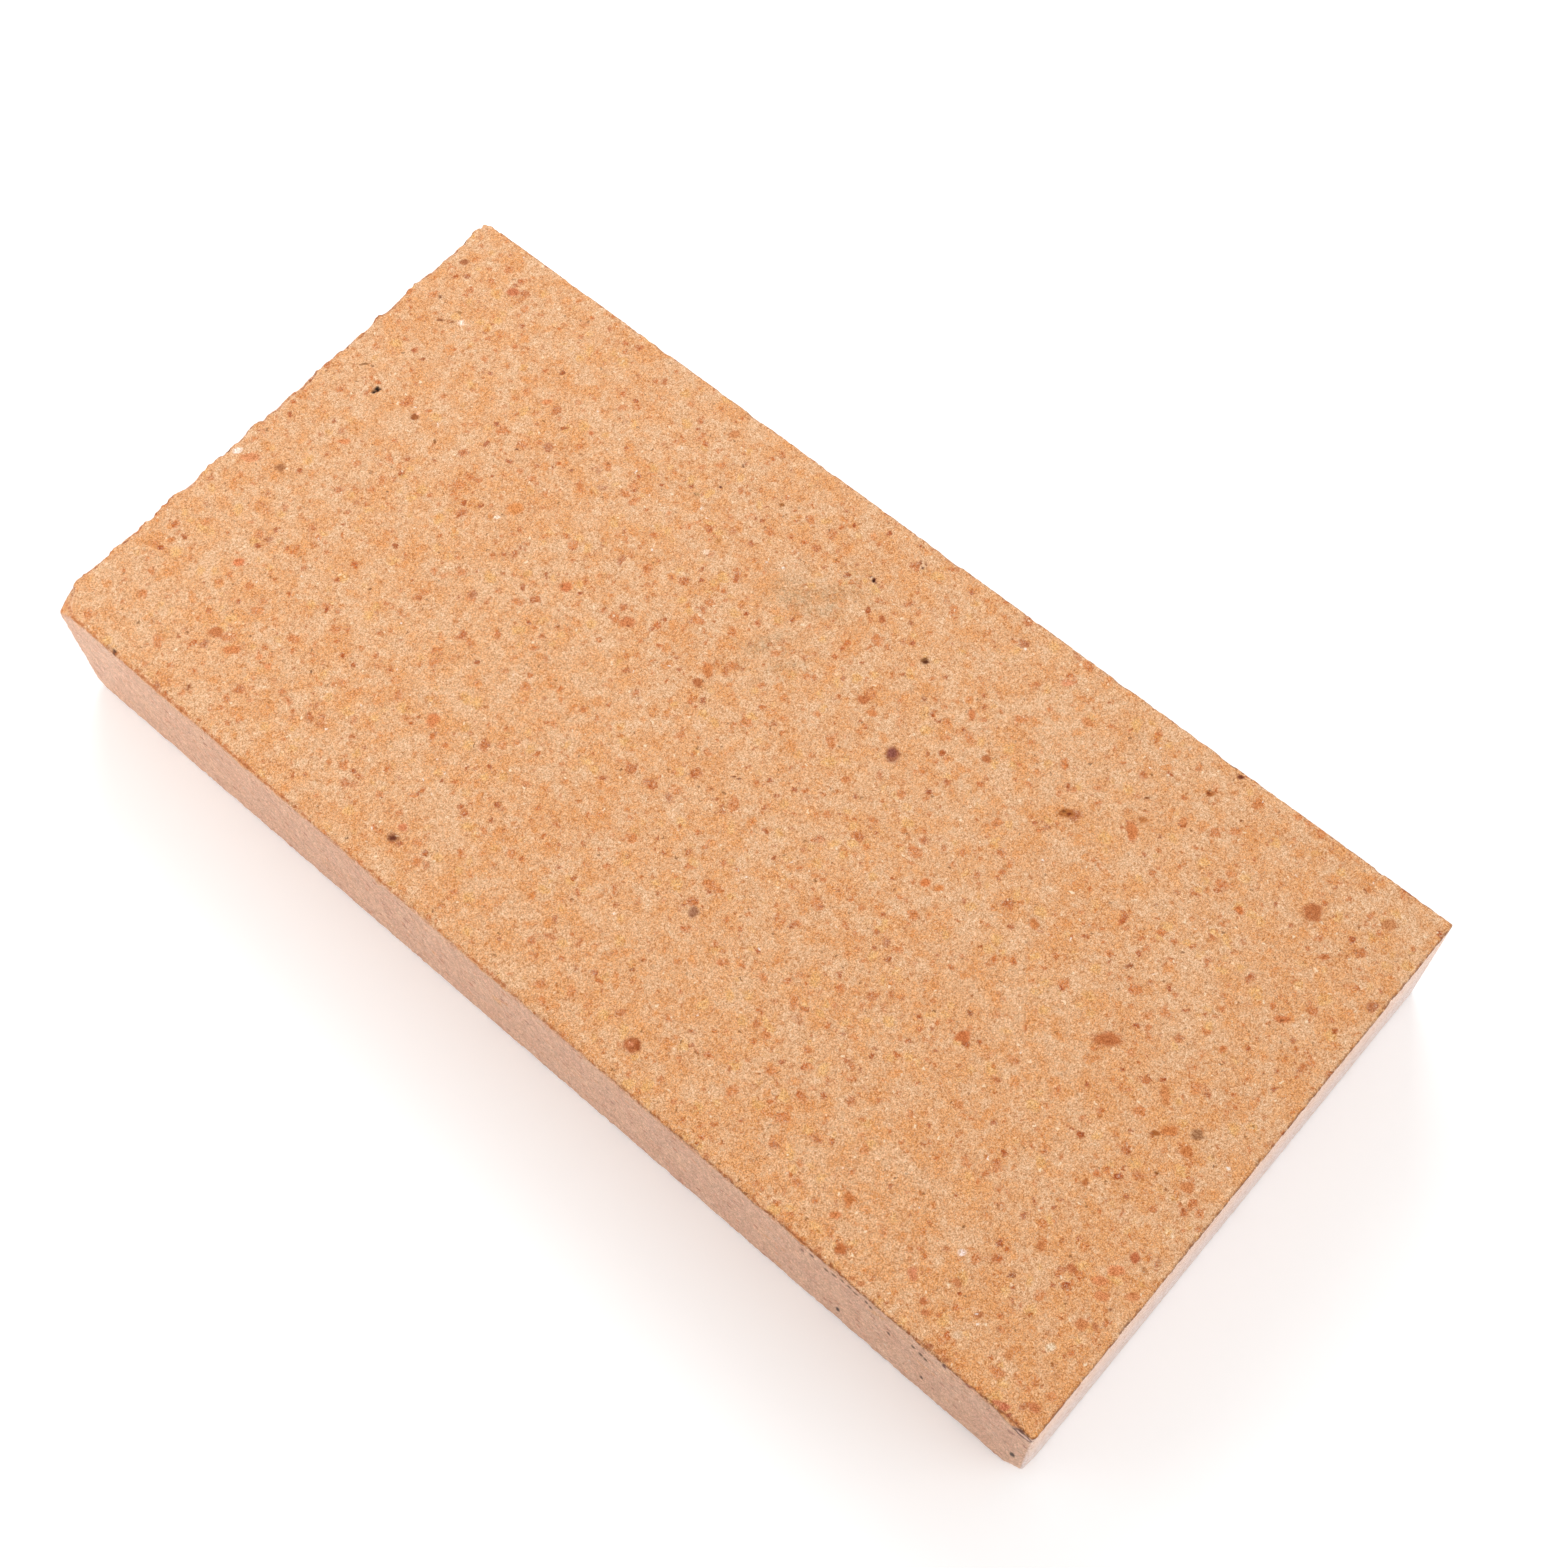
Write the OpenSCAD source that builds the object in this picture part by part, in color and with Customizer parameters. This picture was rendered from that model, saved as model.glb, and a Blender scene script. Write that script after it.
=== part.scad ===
// A pressed fireclay brick of the thin split format: one solid block with no holes and no
// recess. It lies on its lower bed face. X runs along its length, Y across its width and Z
// up, and the origin is the middle of the lower bed face. All sizes are in millimetres.
//
// The brick's outline is a plain box. What makes it a used brick is its edges, so most of
// the file is about those: the rounding from the mould, the rounding from wear, the bites
// out of each arris that the stone-like grit leaves as it falls out, and the broken corners.
// An arris is the sharp edge where two faces of a brick meet.

/* [Brick] */
// Length of the brick
brick_l = 230; // [150:1:300]
// Width of the brick
brick_w = 114; // [80:1:150]
// Thickness of the brick between its two bed faces
brick_t = 32; // [24:1:76]

/* [Rounded edges] */
// Radius of the four upright edges, as the mould leaves them
mould_r = 0.8; // [0.6:0.1:4]
// Radius that handling has worn onto the arrises of both bed faces
wear_r = 0.6; // [0.3:0.1:2]

/* [Crumbled end arris] */
// Spacing of the bites out of the top arris at the left end
bite_pitch = 7.5; // [5:0.5:20]
// Length of the longest bite along the arris
bite_l = 9; // [4:0.5:12]
// Depth of the deepest bite, from the worn arris
bite_d = 0.7; // [0.3:0.1:1.2]

/* [Nicked arrises] */
// Spacing of the nicks out of the other arrises in view
nick_pitch = 24; // [12:1:60]
// Length of the longest nick along the arris
nick_l = 5.5; // [2:0.5:8]
// Depth of the deepest nick, from the worn arris
nick_d = 0.45; // [0.2:0.05:0.8]

/* [Worn top corner] */
// How far the break at the left front top corner reaches along the length
top_break_l = 5.5; // [3:0.5:10]
// How far it reaches along the width
top_break_w = 5.5; // [3:0.5:10]
// How far it reaches down the upright edge
top_break_t = 4.5; // [3:0.5:8]

/* [Broken bottom corner] */
// How far the break at the right front bottom corner reaches along the length
foot_break_l = 4; // [3:0.5:10]
// How far it reaches along the width
foot_break_w = 4.5; // [3:0.5:10]
// How far it reaches up the upright edge
foot_break_t = 6; // [3:0.5:9]
// Length of the chip out of the bottom arris beside that corner
chip_l = 8; // [5:0.5:14]
// Depth of that chip, from the worn arris
chip_d = 0.8; // [0.5:0.1:2]
// Distance from the right end to the middle of that chip
chip_at = 11; // [8:0.5:30]

/* [Blunted bottom corner] */
// How far the small break at the left front bottom corner reaches along each edge
small_break = 3; // [1.5:0.5:6]

/* [Hidden] */
$fn = 96;

// How far a break's hollow face lies below a flat cut through the same three edges
hollow = 0.35;
// Smallest bite or nick, as a share of the largest
least = 0.45;
// Room kept clear at each end of an arris, so that no bite reaches its corner
corner_room = 7;
// Seeds of the random sizes and places of the bites along each arris
end_seed = 11;
front_seed = 23;
back_seed = 37;
right_seed = 41;
foot_seed = 59;
// Distance from the sharp arris to the middle of its worn rounding
wear_off = (sqrt(2) - 1) * wear_r;

// Radius of the ball whose cap spans a chord and reaches a depth
function cap_r(chord, depth) = (chord * chord / 4 + depth * depth) / (2 * depth);

function unit(v) = v / norm(v);

// Corner of the sharp block, from the signs of its three coordinates
function corner(side) = [side.x * brick_l / 2, side.y * brick_w / 2, side.z > 0 ? brick_t : 0];

// Rectangle about the origin with four round corners
module round_rect(size, r) {
    square([size.x - 2 * r, size.y], center = true);
    square([size.x, size.y - 2 * r], center = true);
    for (x = [-1, 1], y = [-1, 1])
        translate([x * (size.x / 2 - r), y * (size.y / 2 - r)])
            circle(r);
}

// The whole block: what is common to its plan, its front view and its end view
module block() {
    intersection() {
        linear_extrude(brick_t)
            round_rect([brick_l, brick_w], mould_r);
        translate([0, brick_w / 2, brick_t / 2])
            rotate([90, 0, 0])
                linear_extrude(brick_w)
                    round_rect([brick_l, brick_t], wear_r);
        translate([-brick_l / 2, 0, brick_t / 2])
            rotate([90, 0, 90])
                linear_extrude(brick_l)
                    round_rect([brick_w, brick_t], wear_r);
    }
}

// Material that a break takes away: a ball that cuts in behind a flat of the given chord.
// The flat's middle is at middle, and the break faces the way of facing
module scoop(middle, facing, chord, depth) {
    r = cap_r(chord, depth);
    translate(middle + unit(facing) * (r - depth))
        sphere(r);
}

// Bites along the straight arris between two corners, spaced by pitch and of random size
module bites(start, end, pitch, longest, deepest, seed) {
    run = corner(end) - corner(start);
    // The arris faces away from the block, square to its own run
    facing = [for (i = [0 : 2]) run[i] == 0 ? start[i] : 0];
    room = norm(run) - 2 * corner_room;
    count = floor(room / pitch);
    shares = rands(least, 1, count, seed);
    shifts = rands(-0.25, 0.25, count, seed + 1);
    for (i = [0 : count - 1]) {
        along = corner_room + (i + 0.5 + shifts[i]) * room / count;
        at = corner(start) + unit(run) * along - unit(facing) * wear_off;
        scoop(at, facing, longest * shares[i], deepest * shares[i]);
    }
}

// Break at a corner, which reaches a given way along each of the three edges there
module corner_break(side, reach) {
    // The flat cut through the three edges: the middle of its triangle, its normal and its size
    inward = [for (i = [0 : 2]) side[i] * reach[i] / 3];
    facing = [for (i = [0 : 2]) side[i] / reach[i]];
    mean_reach = (reach.x + reach.y + reach.z) / 3;
    scoop(corner(side) - inward, facing, 2 * mean_reach * sqrt(2 / 3), hollow);
}

// Everything that has broken off the edges in view
module losses() {
    left_front_top = [-1, -1, 1];
    left_back_top = [-1, 1, 1];
    right_front_top = [1, -1, 1];
    right_back_top = [1, 1, 1];
    left_front_foot = [-1, -1, -1];
    right_front_foot = [1, -1, -1];

    bites(left_front_top, left_back_top, bite_pitch, bite_l, bite_d, end_seed);
    bites(left_front_top, right_front_top, nick_pitch, nick_l, nick_d, front_seed);
    bites(left_back_top, right_back_top, nick_pitch, nick_l, nick_d, back_seed);
    bites(right_front_top, right_back_top, nick_pitch, nick_l, nick_d, right_seed);
    bites(left_front_foot, right_front_foot, nick_pitch, nick_l, nick_d, foot_seed);

    corner_break(left_front_top, [top_break_l, top_break_w, top_break_t]);
    corner_break(right_front_foot, [foot_break_l, foot_break_w, foot_break_t]);
    corner_break(left_front_foot, [small_break, small_break, small_break]);

    chip_facing = [0, -1, -1];
    chip_middle = corner(right_front_foot) - [chip_at, 0, 0] - unit(chip_facing) * wear_off;
    scoop(chip_middle, chip_facing, chip_l, chip_d);
}

module brick() {
    color("#e4ad81")
        difference() {
            block();
            losses();
        }
}

brick();
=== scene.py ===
# %% [markdown]
# # A pressed fireclay brick
#
# This lesson dresses one brick. The real one is made of fireclay mixed with grog, which is old
# brick crushed to grit. The damp mix is pressed in a steel mould and fired. The press leaves
# a flat sandy bed face above and below, and a smoother skin on the four upright faces that
# slid along the mould. Grit falls out of the sharp edges, which a bricklayer calls arrises.
#
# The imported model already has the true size, the roundings and the large losses. Here the
# brick gets what only a finer mesh and a material can show: the crumbling, the pores, the
# grains and their colours.

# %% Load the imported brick
import math

import bmesh
import bpy
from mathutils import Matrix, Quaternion, Vector, noise
from mathutils.kdtree import KDTree


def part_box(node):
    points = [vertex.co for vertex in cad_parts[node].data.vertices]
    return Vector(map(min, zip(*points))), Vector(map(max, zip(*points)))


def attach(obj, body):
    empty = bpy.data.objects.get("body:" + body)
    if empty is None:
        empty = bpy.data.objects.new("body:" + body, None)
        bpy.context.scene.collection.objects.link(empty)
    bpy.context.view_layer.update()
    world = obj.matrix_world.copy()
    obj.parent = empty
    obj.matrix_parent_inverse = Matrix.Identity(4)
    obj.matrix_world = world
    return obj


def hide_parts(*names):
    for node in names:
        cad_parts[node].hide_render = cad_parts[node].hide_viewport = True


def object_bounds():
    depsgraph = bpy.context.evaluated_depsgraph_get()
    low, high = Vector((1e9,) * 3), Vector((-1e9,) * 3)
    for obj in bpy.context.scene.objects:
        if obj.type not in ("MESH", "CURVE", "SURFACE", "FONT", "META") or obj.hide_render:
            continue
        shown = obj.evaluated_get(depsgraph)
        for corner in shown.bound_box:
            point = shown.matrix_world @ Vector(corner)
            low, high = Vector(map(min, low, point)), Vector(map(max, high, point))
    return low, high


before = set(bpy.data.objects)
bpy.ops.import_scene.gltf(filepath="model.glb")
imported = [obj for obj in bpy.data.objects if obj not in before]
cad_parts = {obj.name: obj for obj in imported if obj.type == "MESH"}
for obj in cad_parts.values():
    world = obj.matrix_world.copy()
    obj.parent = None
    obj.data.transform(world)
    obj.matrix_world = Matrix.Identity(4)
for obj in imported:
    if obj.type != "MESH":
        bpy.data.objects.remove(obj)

cad_low, cad_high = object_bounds()
MM = 0.001
print("brick of the packed model, mm:", [round(edge / MM, 2) for edge in cad_high - cad_low])

# %% [markdown]
# ## Camera
#
# The camera comes first, because every choice of detail depends on how large a millimetre
# looks. The brick's own straight edges fix it: with the size of the brick known, there is one
# place and one lens from which its corners fall where they do in the photograph. The real
# camera was held a little tilted, so ours rolls about its own line of sight.

# %% Place the camera
CAMERA_PLACE = Vector((135.46, -128.53, 412.85)) * MM
LOOKS_AT = Vector((11.31, 2.61, 32.0)) * MM
CAMERA_ROLL = math.radians(-2.47)
LENS = 55.16
SENSOR = 36.0
PHOTO_WIDTH = 1568

bpy.ops.object.camera_add(location=CAMERA_PLACE)
camera = bpy.context.object
camera.name = "camera"
camera.data.lens = LENS
camera.data.sensor_width = SENSOR
camera.data.clip_start = 0.01
camera.data.clip_end = 50
camera.rotation_mode = "QUATERNION"
sight = (LOOKS_AT - CAMERA_PLACE).to_track_quat("-Z", "Y")
camera.rotation_quaternion = sight @ Quaternion((0, 0, 1), CAMERA_ROLL)
bpy.context.scene.camera = camera


def photo_pixel(place):
    """Where a point falls in the photograph, in its pixels from the upper left corner."""
    seen = camera.rotation_quaternion.inverted() @ (place - CAMERA_PLACE)
    scale = LENS / SENSOR * PHOTO_WIDTH / -seen.z
    return round(PHOTO_WIDTH / 2 + seen.x * scale, 1), round(PHOTO_WIDTH / 2 - seen.y * scale, 1)


half_l, half_w, brick_t = cad_high.x, cad_high.y, cad_high.z
for across, along in ((-1, 1), (1, 1), (1, -1), (-1, -1)):
    top_corner = Vector((across * half_l, along * half_w, brick_t))
    print("top corner", across, along, "falls at pixel", photo_pixel(top_corner))

# %% [markdown]
# ## The block
#
# A pressed brick starts as a plain block, and so does this one: a cube at the brick's place
# and size. While it still has only six faces, each of them is laid out flat on its own part
# of the UV map, at one scale, so that a baked texture is equally sharp all over. The map
# keeps its place through all later cuts.

# %% Start from a cube
def start_fresh():
    """Back to object mode with nothing selected."""
    if bpy.context.mode != "OBJECT":
        bpy.ops.object.mode_set(mode="OBJECT")
    bpy.ops.object.select_all(action="DESELECT")


brick_low, brick_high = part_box("brick")
start_fresh()
bpy.ops.mesh.primitive_cube_add(
    size=1,
    location=(brick_low + brick_high) / 2,
    scale=brick_high - brick_low,
)
brick = bpy.context.object
brick.name = "fired_brick"
bpy.ops.object.transform_apply(location=True, rotation=True, scale=True)
print("block with", len(brick.data.polygons), "faces")

# %% Lay its six faces out flat
MAP_GAP = 2 * MM
X_AXIS, Y_AXIS, Z_AXIS = Vector((1, 0, 0)), Vector((0, 1, 0)), Vector((0, 0, 1))
length, width, thickness = brick_high - brick_low
row_2 = 2 * MAP_GAP + width
row_3 = row_2 + MAP_GAP + width
row_4 = row_3 + MAP_GAP + thickness
MAP_SIDE = row_4 + thickness + MAP_GAP
# Which way a face looks, where it goes on the map, and what runs across and up there
MAP_PLACES = (
    (Z_AXIS, (MAP_GAP, MAP_GAP), X_AXIS, Y_AXIS),
    (-Z_AXIS, (MAP_GAP, row_2), X_AXIS, -Y_AXIS),
    (-Y_AXIS, (MAP_GAP, row_3), X_AXIS, Z_AXIS),
    (Y_AXIS, (2 * MAP_GAP + length, MAP_GAP), Z_AXIS, X_AXIS),
    (X_AXIS, (MAP_GAP, row_4), Y_AXIS, Z_AXIS),
    (-X_AXIS, (2 * MAP_GAP + width, row_4), -Y_AXIS, Z_AXIS),
)


def lay_flat(mesh, flat_map, looks, corner, across, up):
    """Puts the block's face that looks one way onto its place on the map."""
    for face in mesh.polygons:
        if face.normal.dot(looks) < 0.9:
            continue
        places = [mesh.vertices[mesh.loops[i].vertex_index].co for i in face.loop_indices]
        left = min(place.dot(across) for place in places)
        low = min(place.dot(up) for place in places)
        for loop, place in zip(face.loop_indices, places):
            u = corner[0] + place.dot(across) - left
            v = corner[1] + place.dot(up) - low
            flat_map.uv[loop].vector = (u / MAP_SIDE, v / MAP_SIDE)


while brick.data.uv_layers:
    brick.data.uv_layers.remove(brick.data.uv_layers[0])
flat_map = brick.data.uv_layers.new(name="OFBake")
for looks, corner, across, up in MAP_PLACES:
    lay_flat(brick.data, flat_map, looks, corner, across, up)
print("the map is a square of", round(MAP_SIDE / MM), "mm a side")

# %% [markdown]
# ## The marks of this brick
#
# Some grains are large enough to know this brick by, so they lie where they do in the
# photograph. A pattern can't put one grain in one place, so they are listed. Each has its
# place on the brick in millimetres, a size across and up the picture, and a colour. Later
# they are painted onto the mesh, so the mesh has to be fine there too.

# %% List the marks
def colour(hex_code):
    """An sRGB hex colour as the linear colour that the shader works in."""
    channels = [int(hex_code[i:i + 2], 16) / 255 for i in (1, 3, 5)]
    linear = [c / 12.92 if c <= 0.04045 else ((c + 0.055) / 1.055) ** 2.4 for c in channels]
    return (*linear, 1.0)


# Burnt grains on the upper bed, and rust crumbs beside its near arris: place along and
# across the bed, size across and up the picture
GRAINS = (
    (95.5, 43.2, 3.4, 3.3, "#B86A38"),
    (106.7, 49.7, 2.4, 2.0, "#C47F4C"),
    (83.1, 2.3, 5.0, 2.6, "#BC6B38"),
    (22.1, 19.4, 2.7, 3.1, "#9C5939"),
    (23.8, -50.3, 3.1, 2.9, "#B66433"),
    (63.0, 35.2, 2.0, 4.4, "#CE7A42"),
    (63.1, 38.1, 1.6, 1.2, "#C27940"),
    (52.3, 30.5, 2.9, 1.7, "#B0662B"),
    (68.9, 49.6, 1.6, 1.3, "#B26730"),
    (104.5, -1.0, 2.2, 2.0, "#A26E46"),
    (99.0, -5.3, 1.5, 1.2, "#A0551A"),
    (-13.8, 7.7, 1.9, 2.0, "#B46634"),
    (-14.0, 10.7, 2.0, 3.0, "#CE7D42"),
    (-31.7, 8.5, 3.0, 2.1, "#CB7A46"),
    (-87.1, -41.7, 2.8, 2.4, "#C2723E"),
    (-82.2, -42.4, 3.2, 1.8, "#D5834A"),
    (-77.4, -40.2, 1.4, 1.2, "#DE9058"),
    (-74.7, -40.3, 1.3, 1.3, "#DE8E57"),
    (-98.6, 48.0, 2.6, 2.0, "#C77144"),
    (-110.9, 46.9, 1.8, 1.4, "#AD693D"),
    (-63.9, 12.8, 3.4, 2.4, "#DB8C4C"),
    (-92.6, 14.9, 1.5, 1.3, "#9A5221"),
    (-103.8, -9.7, 1.9, 1.7, "#A66A3F"),
    (-33.5, -49.6, 2.2, 1.9, "#9D603A"),
    (15.6, -25.7, 2.0, 1.9, "#9F6949"),
    (-44.4, -28.7, 2.6, 2.8, "#D68048"),
    (-42.2, -31.0, 1.2, 1.5, "#C16C34"),
    (64.7, -13.1, 2.5, 2.1, "#C86F39"),
    (11.2, 24.4, 2.2, 1.7, "#BE6D3A"),
    (14.1, 23.4, 1.7, 1.6, "#D38147"),
    (68.2, -46.6, 1.6, 2.4, "#CA773C"),
    (72.7, -53.6, 2.2, 1.8, "#BC6731"),
    (-43.9, 51.4, 1.9, 1.6, "#CF8650"),
    (-58.0, 23.9, 1.0, 1.6, "#CA7A41"),
    (-64.6, 34.0, 1.0, 1.0, "#C8723F"),
    (-45.2, 6.6, 2.3, 2.0, "#CF7743"),
    (-75.8, 33.7, 2.2, 1.2, "#D98750"),
    (-89.3, 38.9, 1.1, 1.0, "#C97641"),
    (-94.7, -28.9, 2.2, 1.7, "#DA7E49"),
    (-109.8, -11.6, 4.0, 1.8, "#DB8E5B"),
    (-99.0, 2.3, 2.4, 1.4, "#DC8951"),
    (3.0, 39.1, 1.1, 1.6, "#BC6B3A"),
    (35.2, 29.6, 1.8, 1.4, "#BA6C38"),
    (44.0, 46.8, 2.0, 1.8, "#D28750"),
    (68.6, 42.5, 1.6, 1.5, "#D2854D"),
    (42.1, 4.2, 1.7, 1.7, "#D87D41"),
    (44.6, 5.2, 1.6, 1.4, "#D28041"),
    (61.1, 10.6, 1.7, 2.2, "#CC7C41"),
    (36.4, 50.7, 2.4, 1.4, "#DE9162"),
    (27.6, 34.7, 1.2, 2.2, "#D07C45"),
    (96.3, 1.1, 1.6, 3.6, "#CF8249"),
    (100.6, -3.5, 3.0, 2.0, "#CD7B3F"),
    (104.7, -4.6, 2.4, 2.2, "#CD7C41"),
    (103.0, 24.2, 3.0, 1.2, "#CC7640"),
    (98.7, 13.5, 1.4, 1.4, "#CD7A42"),
    (68.3, -50.0, 2.2, 1.2, "#D37E46"),
    (83.9, -49.0, 1.6, 2.4, "#D28154"),
    (-33.5, -47.1, 1.8, 1.6, "#D07A4A"),
    (86.0, 35.3, 1.5, 1.8, "#C96F34"),
    (-30.6, 32.0, 1.0, 1.0, "#C6854B"),
    (-40.3, 37.0, 0.9, 0.8, "#BB8B59"),
    (69.9, -56.0, 1.2, 1.0, "#CE8A5A"),
    (77.2, -56.0, 1.3, 0.8, "#C87C48"),
    (78.8, -55.8, 1.2, 0.8, "#CC8250"),
    (93.4, -56.2, 1.3, 0.9, "#B87048"),
    (95.0, -56.0, 1.7, 1.1, "#C87C44"),
    (96.7, -56.3, 1.3, 0.9, "#B46C3E"),
    (106.8, -56.2, 1.5, 1.0, "#CC7A50"),
    (108.2, -55.9, 1.8, 1.2, "#C8704A"),
    (109.5, -56.5, 1.2, 0.8, "#A85C3C"),
    (109.0, -23.9, 1.7, 1.7, "#C0683A"),
    (102.5, -31.9, 1.5, 1.5, "#C07040"),
    (108.2, -27.6, 2.8, 1.8, "#DB8752"),
    (107.2, -30.5, 2.8, 1.4, "#D88752"),
    (109.0, -32.2, 2.6, 1.6, "#D68651"),
    (112.8, -29.1, 2.2, 1.4, "#D58853"),
    (96.6, -32.2, 1.6, 1.6, "#C2743E"),
    (111.8, -53.0, 2.0, 1.6, "#C87645"),
    (95.5, -19.4, 1.1, 1.1, "#BA6B33"),
    (108.4, -9.2, 2.4, 1.8, "#D1834B"),
    (109.4, -37.9, 2.2, 2.0, "#D1834D"),
    (111.2, -36.8, 1.3, 1.3, "#BF7647"),
    (88.0, -51.4, 1.2, 1.2, "#C07040"),
    (89.4, -52.6, 1.2, 1.2, "#C27444"),
    (96.1, -47.3, 1.2, 1.2, "#B76D3D"),
    (103.7, -49.3, 1.5, 1.3, "#CA8149"),
    (90.4, -45.6, 1.2, 1.6, "#C67B49"),
)
# Darker and paler hearts inside some of those, and small things beside them: dark pits and
# specks, short cracks and a few white grains. The near-black of the pits is painted shade
# inside the pores, which are pushed in below
HEARTS = (
    (21.8, 19.6, 1.5, 1.7, "#8A4C3C"),
    (24.7, -49.7, 1.0, 1.9, "#9A4A1C"),
    (23.5, -50.3, 0.9, 0.8, "#D9895C"),
    (24.2, -50.6, 0.5, 0.4, "#7A300D"),
    (51.7, 30.5, 0.8, 0.6, "#8A4A1A"),
    (52.7, 30.6, 0.9, 0.6, "#7F350D"),
    (68.8, 49.5, 0.7, 0.6, "#8A400D"),
    (14.4, 37.5, 1.6, 1.5, "#7D4A1F"),
    (14.7, 37.5, 0.9, 0.7, "#5F2C0D"),
    (-92.8, 14.4, 0.8, 0.7, "#8A4A20"),
    (-92.6, 15.8, 0.7, 0.7, "#FCBB8F"),
    (-33.5, -49.6, 1.2, 0.9, "#622A10"),
    (103.3, -10.5, 0.7, 0.6, "#8A4C0D"),
    (106.1, -11.8, 0.7, 0.6, "#8F501C"),
    (-26.7, 45.5, 1.0, 0.8, "#A6662D"),
    (-38.0, 41.0, 0.6, 0.6, "#5A140D"),
    (-37.9, 47.2, 0.4, 0.8, "#74380D"),
    (0.7, 52.8, 0.4, 1.0, "#8A451D"),
    (1.8, 52.1, 0.4, 0.7, "#57150D"),
    (1.7, 53.1, 0.3, 1.0, "#924C20"),
    (3.7, -2.1, 1.0, 0.35, "#742A0D"),
    (4.7, -1.8, 1.0, 0.35, "#742A0D"),
    (-102.6, 14.7, 0.9, 1.2, "#0D0606"),
    (-102.7, 13.8, 0.7, 0.8, "#200A08"),
    (-102.1, 15.2, 0.5, 0.5, "#3A1408"),
    (-3.4, 44.3, 0.6, 1.1, "#460D0D"),
    (-4.2, 44.5, 0.5, 0.5, "#793A1D"),
    (-2.7, 44.1, 0.4, 0.5, "#793A1D"),
    (-98.3, -56.8, 1.2, 1.0, "#5A2A0D"),
    (-31.0, 8.0, 0.5, 0.4, "#8A4420"),
    (-72.8, 22.3, 0.7, 0.4, "#59130D"),
    (61.1, 41.9, 1.0, 0.5, "#86450D"),
    (76.1, 49.0, 0.5, 0.5, "#87440D"),
    (71.1, 55.8, 1.4, 0.8, "#6C2A0D"),
    (103.1, 24.0, 0.8, 0.4, "#8B4A20"),
    (-108.6, 37.9, 0.7, 1.0, "#8A5028"),
    (-104.7, 34.0, 1.5, 0.5, "#8A4E24"),
    (-102.6, 35.2, 0.9, 0.6, "#9A5C30"),
    (-108.5, 17.3, 1.6, 0.5, "#8A5C34"),
    (-107.0, 17.9, 0.8, 0.5, "#9A6A44"),
    (-103.1, 37.8, 0.9, 0.8, "#A8703A"),
    (-101.1, 36.1, 1.2, 1.2, "#FFDFC4"),
    (-30.7, 28.8, 1.1, 1.0, "#F5CFAB"),
    (-112.9, -12.3, 1.7, 1.3, "#F8DFC8"),
    (-65.2, 9.1, 1.5, 0.7, "#F8DCBE"),
    (87.8, -41.4, 1.3, 1.1, "#F5D7C5"),
    (107.8, -43.9, 1.6, 1.4, "#E8C8A2"),
    (95.6, -52.0, 1.5, 1.2, "#E2B890"),
    (109.7, -45.8, 0.6, 0.8, "#A05C28"),
    (111.4, -24.5, 0.6, 1.0, "#A86C3C"),
    (111.4, -33.0, 0.6, 0.6, "#8A4A20"),
)
# Slots and small ticks in the front face, and a pale flake inside its dark outline: place
# along and up the face, length and height. The near-black of the slots is painted shade, as
# the mesh has no slots
FRONT_MARKS = (
    (112.4, 11.0, 1.0, 3.0, "#321608"),
    (75.0, 7.5, 0.9, 3.0, "#38190A"),
    (93.2, 10.4, 0.7, 2.2, "#502A14"),
    (80.9, 29.4, 0.8, 1.6, "#5E3418"),
    (81.8, 28.2, 0.8, 1.6, "#603820"),
    (85.9, 21.2, 0.7, 1.8, "#5E3418"),
    (90.8, 26.3, 0.9, 1.5, "#5E3C1A"),
    (92.3, 25.6, 1.1, 1.7, "#5A3816"),
    (93.5, 25.0, 0.9, 1.5, "#5E3C1A"),
    (97.0, 30.8, 1.0, 1.6, "#7A4238"),
    (67.3, 27.5, 0.8, 1.6, "#8A5A44"),
    (69.4, 29.2, 0.8, 1.4, "#7A4A38"),
    (72.4, 27.9, 1.0, 1.3, "#7E5636"),
    (74.1, 28.9, 1.0, 1.3, "#7E5636"),
    (75.8, 29.8, 1.0, 1.3, "#7E5636"),
    (77.3, 29.6, 1.0, 1.3, "#7E5636"),
    (78.6, 29.0, 1.0, 1.3, "#7E5636"),
    (113.0, 30.0, 3.4, 3.2, "#5C2C20"),
    (113.0, 30.0, 2.3, 1.5, "#EAC0A8"),
)
# Across and up the picture are the brick's own axes, turned by this much
PICTURE_TURN = Quaternion(Z_AXIS, math.radians(42))
GRAIN_DEPTH = 2.0

MARKS = []
for x, y, across, up, hex_code in GRAINS + HEARTS:
    MARKS.append((Vector((x, y, brick_t / MM)), (across, up, GRAIN_DEPTH), hex_code))
for x, z, long, high, hex_code in FRONT_MARKS:
    MARKS.append((Vector((x, -half_w / MM, z)), (long, long, high), hex_code))
print("marks:", len(MARKS))

# Pores of the upper bed: place along and across it, radius and depth, in millimetres
PORES = (
    (-102.6, 14.7, 0.75, 0.9),
    (-102.6, 13.9, 0.45, 0.6),
    (-3.4, 44.3, 0.5, 0.7),
    (14.6, 37.5, 0.5, 0.4),
)

# %% Tell how far a place is from a mark
mark_tree = KDTree(len(MARKS))
for index, (middle, size, hex_code) in enumerate(MARKS):
    mark_tree.insert(middle * MM, index)
mark_tree.balance()


def away(place, mark, reach=0.0):
    """How far a place is from a mark's middle: 1 is on its edge, let out by the reach."""
    middle, size, hex_code = mark
    gap = PICTURE_TURN.inverted() @ (place / MM - middle)
    return Vector(step / (side / 2 + reach / MM) for step, side in zip(gap, size)).length


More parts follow.
